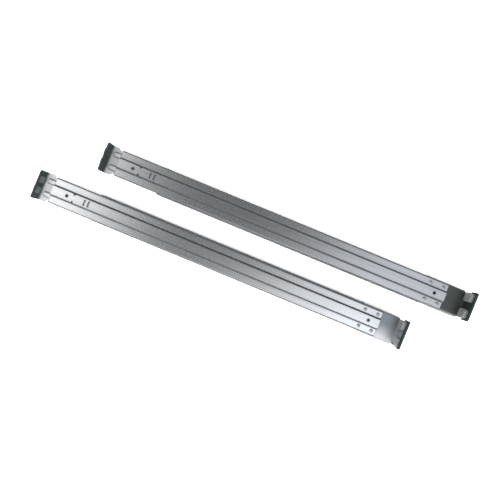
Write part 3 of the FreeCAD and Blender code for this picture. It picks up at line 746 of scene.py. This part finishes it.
@dataclass
class BallSlide:
    """The telescopic members of one rail with their ball cages, balls and rear bumper."""

    side: Side
    nodes: dict[str, bpy.types.Object]
    palette: Palette

    def build(self) -> None:
        """Dress the slide's solids."""
        palette = self.palette
        finishes = {
            "outer_member": palette.member, "intermediate_member": palette.member,
            "inner_member": palette.member, "outer_ball_cage": palette.strip,
            "inner_ball_cage": palette.strip, "outer_balls": palette.ball,
            "inner_balls": palette.ball, "rear_bumper": palette.rubber,
        }
        for word, material in finishes.items():
            dress(self.nodes[self.side.node(word)], material)
        LOG.info("%s slide: %d solids dressed", self.side.value, len(finishes))


@dataclass
class Channel:
    """The three-strip channel on a rail's back, with the rivets that go through it."""

    side: Side
    nodes: dict[str, bpy.types.Object]
    palette: Palette

    def build(self) -> None:
        """Dress the channel and its rivets."""
        dress(self.nodes[self.side.node("mount_channel")], self.palette.channel)
        dress(self.nodes[self.side.node("front_rivets")], self.palette.rivet)
        dress(self.nodes[self.side.node("guide_rivets")], self.palette.rivet)
        LOG.info("%s channel dressed", self.side.value)


@dataclass
class FrontBracket:
    """The flanged front bracket of one rail with its two tapped blocks and their threads."""

    side: Side
    nodes: dict[str, bpy.types.Object]
    palette: Palette
    root: str
    rack_pitch: float = 31.75 * MM
    thread_radius: float = 2.1 * MM
    thread_pitch: float = 0.8 * MM
    thread_depth: float = 0.30 * MM
    mouth: float = 0.48 * MM
    skin: float = 0.02 * MM
    points_round: int = 40
    rows_per_pitch: int = 8

    def build(self) -> None:
        """Dress the bracket and its blocks, and line the blocks' holes with their threads."""
        bracket = self.side.node("front_bracket")
        low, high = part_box(bracket)
        # painted shade and dark reflection that differ between the rails
        shading = RAIL_SHADING[self.side]
        flange = FlangeShade("Z", high.z - shading.rim, 1.0, fade=2.0 * MM)
        plate_shade = PlateShade(shading.plate, low.y, (low.y + high.y) / 2 + shading.reach)
        finish = RolledZinc(
            self.side.node("bracket_zinc"), (0.80, 0.82, 0.84), (0.74, 0.76, 0.79), roughness=0.50,
            spread=0.06, metal=0.45, fold=0.50, crease_shade=0.10, ends=0.0, plate_shade=plate_shade, flange=flange,
        )
        dress(self.nodes[bracket], finish.material())
        blocks = self.side.node("nut_blocks")
        dress(self.nodes[blocks], self.palette.casting)
        block_low, block_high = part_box(blocks)
        middle, block_middle = (low + high) / 2, (block_low + block_high) / 2
        depth = block_high.x - block_low.x
        for number, hand in enumerate((-1, 1)):
            across = middle.y + hand * self.rack_pitch / 2
            self.thread(number, Vector((block_low.x, across, block_middle.z)), depth)
        LOG.info("%s front bracket: threads %.1f mm deep", self.side.value, depth / MM)

    def thread(self, number: int, start: Vector, length: float) -> None:
        """Line one tapped hole with its thread.

        A closed sleeve: its back lies on the bore's wall, and its face stands at
        radius = bore - depth * fade * (1 + cos(2 pi * distance / pitch - angle)) / 2, where the
        fade rises from 0 to 1 over the length of each mouth.

        Args:
            number: which of the two holes it is.
            start: where the hole's axis leaves the block on the rear side.
            length: the hole's length.
        """
        rows = int(length / self.thread_pitch * self.rows_per_pitch)
        along = np.linspace(0.0, length, rows)[:, None]
        angle = np.linspace(0.0, 2 * np.pi, self.points_round, endpoint=False)[None, :]
        phase = 2 * np.pi * along / self.thread_pitch - angle
        fade = np.clip(np.minimum(along, length - along) / self.mouth, 0.0, 1.0)
        face = self.thread_radius - self.skin - self.thread_depth * fade * (1 + np.cos(phase)) / 2
        back = np.full_like(face, self.thread_radius + self.skin)
        radius = np.vstack([face, back])
        place, turn = np.broadcast_arrays(np.vstack([along, along[::-1]]), angle)
        y, z = start.y + radius * np.cos(turn), start.z + radius * np.sin(turn)
        points = np.stack([start.x + place, y, z], axis=-1)
        name = self.side.node(f"nut_thread_{number}")
        thing = piece(name, points.reshape(-1, 3), ring_faces(*radius.shape), self.palette.casting)
        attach(thing, self.root)


@dataclass
class RearArm:
    """The adjustable rear arm of one rail: a beaded plate, its flange and the two square pegs.

    The flange carries a painted dark reflection through its wall and the start of the bend past it.
    """

    side: Side
    nodes: dict[str, bpy.types.Object]
    wall: float = 1.5 * MM
    past_wall: float = 0.35 * MM
    dulling: float = 0.96

    def build(self) -> None:
        """Dress the arm and its pegs."""
        word = self.side.node("rear_bracket")
        low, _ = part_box(word)
        # the arm's and the pegs' tones differ per rail as painted light and shade
        shading = RAIL_SHADING[self.side]
        dull = tuple(self.dulling * part for part in shading.arm)
        # painted dark reflection on the arm's flange
        flange = FlangeShade("X", low.x + self.wall + self.past_wall, -1.0, fade=0.25 * MM)
        finish = RolledZinc(
            self.side.node("arm_zinc"), shading.arm, dull, shading.arm, roughness=0.46,
            metal=0.10, crease_shade=0.25, width=1.2 * MM, ends=0.6, flange=flange,
        )
        dress(self.nodes[word], finish.material())
        pegs = CastZinc(self.side.node("peg_zinc"), shading.peg, shading.peg_shade)
        dress(self.nodes[self.side.node("rear_pegs")], pegs.material())
        LOG.info("%s rear arm dressed", self.side.value)


@dataclass
class ReleaseLatch:
    """The lever in a rail's inner member, its pivot, and the torsion spring wound round that."""

    side: Side
    nodes: dict[str, bpy.types.Object]
    palette: Palette
    wire: float = 0.22 * MM
    turns: float = 1.75
    leg: float = 4.5 * MM
    points_per_turn: int = 36
    points_per_leg: int = 8

    def build(self) -> None:
        """Dress the lever and its pivot, and wind the spring."""
        dress(self.nodes[self.side.node("release_lever")], self.palette.spring)
        dress(self.nodes[self.side.node("release_pivot")], self.palette.rivet)
        self.spring()
        LOG.info("%s latch: a spring of %.2f turns", self.side.value, self.turns)

    def spring(self) -> None:
        """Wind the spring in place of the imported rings.

        The wire's middle follows centre + r * (cos a, sin a, 0) with a rise in proportion to a, and
        leaves both ends of the coil straight along r * (-sin a, cos a, 0), the legs.
        """
        packed = self.side.node("release_spring")
        low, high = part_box(packed)
        centre = (low + high) / 2
        radius = (high.x - low.x) / 2 - self.wire
        angle = np.linspace(0.0, 2 * np.pi * self.turns, int(self.points_per_turn * self.turns) + 1)
        rise = np.linspace(low.z + self.wire, high.z - self.wire, len(angle))
        coil = np.stack(
            [centre.x + radius * np.cos(angle), centre.y + radius * np.sin(angle), rise], axis=-1
        )
        ends = angle[[0, -1]]
        ahead = np.stack([-np.sin(ends), np.cos(ends), np.zeros(2)], axis=-1)
        steps = np.linspace(self.leg, 0.0, self.points_per_leg, endpoint=False)[:, None]
        path = np.vstack([coil[0] - steps * ahead[0], coil, coil[-1] + steps[::-1] * ahead[1]])
        points, faces = tube(path, self.wire)
        thing = piece(self.side.node("torsion_spring"), points, faces, self.palette.spring)
        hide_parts(packed)
        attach(thing, self.side.node("inner_stage"))


@dataclass
class Rail:
    """One complete rail."""

    side: Side
    frame: dict
    palette: Palette

    def build(self) -> None:
        """Build and dress each sub-assembly in order."""
        nodes = self.frame["nodes"]
        root = self.frame["joints"][0]["parent"]
        BallSlide(self.side, nodes, self.palette).build()
        Channel(self.side, nodes, self.palette).build()
        FrontBracket(self.side, nodes, self.palette, root).build()
        RearArm(self.side, nodes).build()
        ReleaseLatch(self.side, nodes, self.palette).build()


# ---- studio ----------------------------------------------------------------------------------


@dataclass(frozen=True)
class Card:
    """A soft-edged round patch of the ceiling; its reach and its fade are in degrees."""

    towards: Colour
    level: float
    reach: float
    fade: float


# A broad dimmer patch over the front end, and a small bright one over the front right corner.
CARDS = (
    Card(towards=(0.75, 0.20, 1.0), level=0.80, reach=8.0, fade=14.0),
    Card(towards=(0.52, -0.26, 1.0), level=2.3, reach=8.2, fade=2.8),
)


@dataclass
class Studio:
    """A white floor under a soft ceiling, dim overhead and brighter towards all four sides.

    The ceiling has the level dim overhead, and front, rear, right and left are added to its sides.
    Below the horizon's step it falls to that share of itself.
    """

    cards: tuple[Card, ...]
    dim: float = 0.150
    front: float = 1.40
    rear: float = 2.10
    right: float = 1.20
    left: float = 0.60
    horizon: float = 0.36
    horizon_step: Step = (0.42, 0.80)
    warm: Colour = (1.015, 1.0, 0.985)
    cool: Colour = (0.945, 0.975, 1.03)
    white: Colour = (1.0, 1.0, 1.0)
    floor_lit: Colour = (0.80, 0.80, 0.80)
    floor_mirrored: Colour = (1.05, 1.05, 1.05)
    floor_seen: Colour = (2.20, 2.20, 2.20)
    floor_reach: float = 4.0
    floor_drop: float = 0.1 * MM
    lamp_place: Colour = (0.25, -1.1, 1.5)
    lamp_size: float = 2.4
    lamp_energy: float = 3.3

    def build(self) -> None:
        """Set the sky, the floor and the key light."""
        self.sky()
        self.floor()
        self.key()
        LOG.info("studio: %d cards", len(self.cards))

    def seen(self, shader: Shader) -> Signal:
        """1 for the camera's own rays and the clear rays behind them, 0 for light."""
        path = shader.add("ShaderNodeLightPath").outputs
        camera, clear = path["Is Camera Ray"], path["Is Transmission Ray"]
        return (Signal(shader, camera) + Signal(shader, clear)).kept()

    def facing(self, shader: Shader, direction: bpy.types.NodeSocket, towards: Colour) -> Signal:
        """How nearly a direction agrees with a fixed one: their dot product."""
        both = {0: direction, 1: towards}
        product = shader.add("ShaderNodeVectorMath", {"operation": "DOT_PRODUCT"}, both)
        return Signal(shader, product.outputs["Value"])

    def level(self, shader: Shader, direction: bpy.types.NodeSocket) -> Signal:
        """The ceiling's brightness: a smooth step to each side, dimmed to the horizon, and cards.

        Args:
            shader: the builder of the world's tree.
            direction: where a ray comes from.

        Returns:
            The light that comes from there.
        """
        right = self.facing(shader, direction, (0.0, -1.0, 0.0))
        front = self.facing(shader, direction, (1.0, 0.0, 0.0))
        up = self.facing(shader, direction, (0.0, 0.0, 1.0))
        level = (front + right * 0.85).ramp(0.01, 0.50) * self.front + self.dim
        level = level + (right * 0.2 - front).ramp(0.32, 0.66) * self.rear
        level = level + right.ramp(0.36, 0.72) * self.right + right.ramp(-0.36, -0.72) * self.left
        level = level * (up.ramp(*self.horizon_step) * (1.0 - self.horizon) + self.horizon)
        for card in self.cards:
            near = self.facing(shader, direction, tuple(Vector(card.towards).normalized()))
            outer = math.cos(math.radians(card.reach + card.fade))
            inner = math.cos(math.radians(card.reach))
            share = near.ramp(outer, inner)
            level = level * (1.0 - share) + share * card.level
        return level

    def sky(self) -> None:
        """The ceiling's light, bluer to the front; the camera's own rays see it plain white."""
        world = bpy.data.worlds.new("studio")
        world.use_nodes = True
        bpy.context.scene.world = world
        shader = Shader(world.node_tree)
        direction = shader.add("ShaderNodeTexCoord").outputs["Generated"]
        front = self.facing(shader, direction, (1.0, 0.0, 0.0))
        seen = self.seen(shader)
        strength = self.level(shader, direction) * (1.0 - seen) + seen
        light = shader.tint(self.warm, self.cool, front.ramp(0.10, 0.50))
        colour = shader.tint(light, self.white, seen)
        background = shader.add("ShaderNodeBackground", {}, {"Color": colour, "Strength": strength})
        shader.add("ShaderNodeOutputWorld", {}, {"Surface": background.outputs[0]})

    def floor(self) -> None:
        """A floor that the camera and the metal both see as white."""
        material, shader = new_material("floor")
        glossy = Signal(shader, shader.add("ShaderNodeLightPath").outputs["Is Glossy Ray"])
        colour = shader.tint(self.floor_lit, self.floor_mirrored, glossy)
        colour = shader.tint(colour, self.floor_seen, self.seen(shader))
        cloth = shader.add("ShaderNodeBsdfDiffuse", {}, {"Color": colour})
        shader.add("ShaderNodeOutputMaterial", {}, {"Surface": cloth.outputs[0]})
        square = np.array([(-1.0, -1.0), (1.0, -1.0), (1.0, 1.0), (-1.0, 1.0)])
        corners = np.column_stack([square * self.floor_reach, np.full(4, -self.floor_drop)])
        piece("floor", corners, np.array([[0, 1, 2, 3]]), material)

    def key(self) -> None:
        """One large soft lamp from the right, turned towards the rails."""
        light = bpy.data.lights.new("key", "AREA")
        light.shape = "DISK"
        light.size = self.lamp_size
        light.energy = self.lamp_energy
        lamp = bpy.data.objects.new("key", light)
        bpy.context.scene.collection.objects.link(lamp)
        lamp.location = self.lamp_place
        lamp.rotation_euler = (-lamp.location).to_track_quat("-Z", "Y").to_euler()


@dataclass
class Viewpoint:
    """The camera: straight above the pair, turned so that the rails run down to the right.

    The lens and the sensor are in millimetres, all else in metres and radians.
    """

    roll: float = math.radians(22.42)
    aim: tuple[float, float] = (0.9 * MM, -7.9 * MM)
    height: float = 0.449
    lens: float = 21.3
    sensor: float = 36.0
    nearest: float = 0.01

    def build(self) -> None:
        """Make the camera and use it."""
        data = bpy.data.cameras.new("camera")
        data.lens = self.lens
        data.sensor_width = self.sensor
        data.clip_start = self.nearest
        camera = bpy.data.objects.new("camera", data)
        bpy.context.scene.collection.objects.link(camera)
        place = Matrix.Translation((*self.aim, self.height))
        camera.matrix_world = place @ Matrix.Rotation(self.roll, 4, "Z")
        bpy.context.scene.camera = camera


def main() -> None:
    """Build the whole scene in order."""
    logging.basicConfig(level=logging.INFO, format="%(name)s: %(message)s")
    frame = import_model()
    bpy.context.scene.view_settings.view_transform = "Standard"
    palette = Palette()
    for side in Side:
        Rail(side, frame, palette).build()
    Studio(CARDS).build()
    Viewpoint().build()


if __name__ == "__main__":
    main()
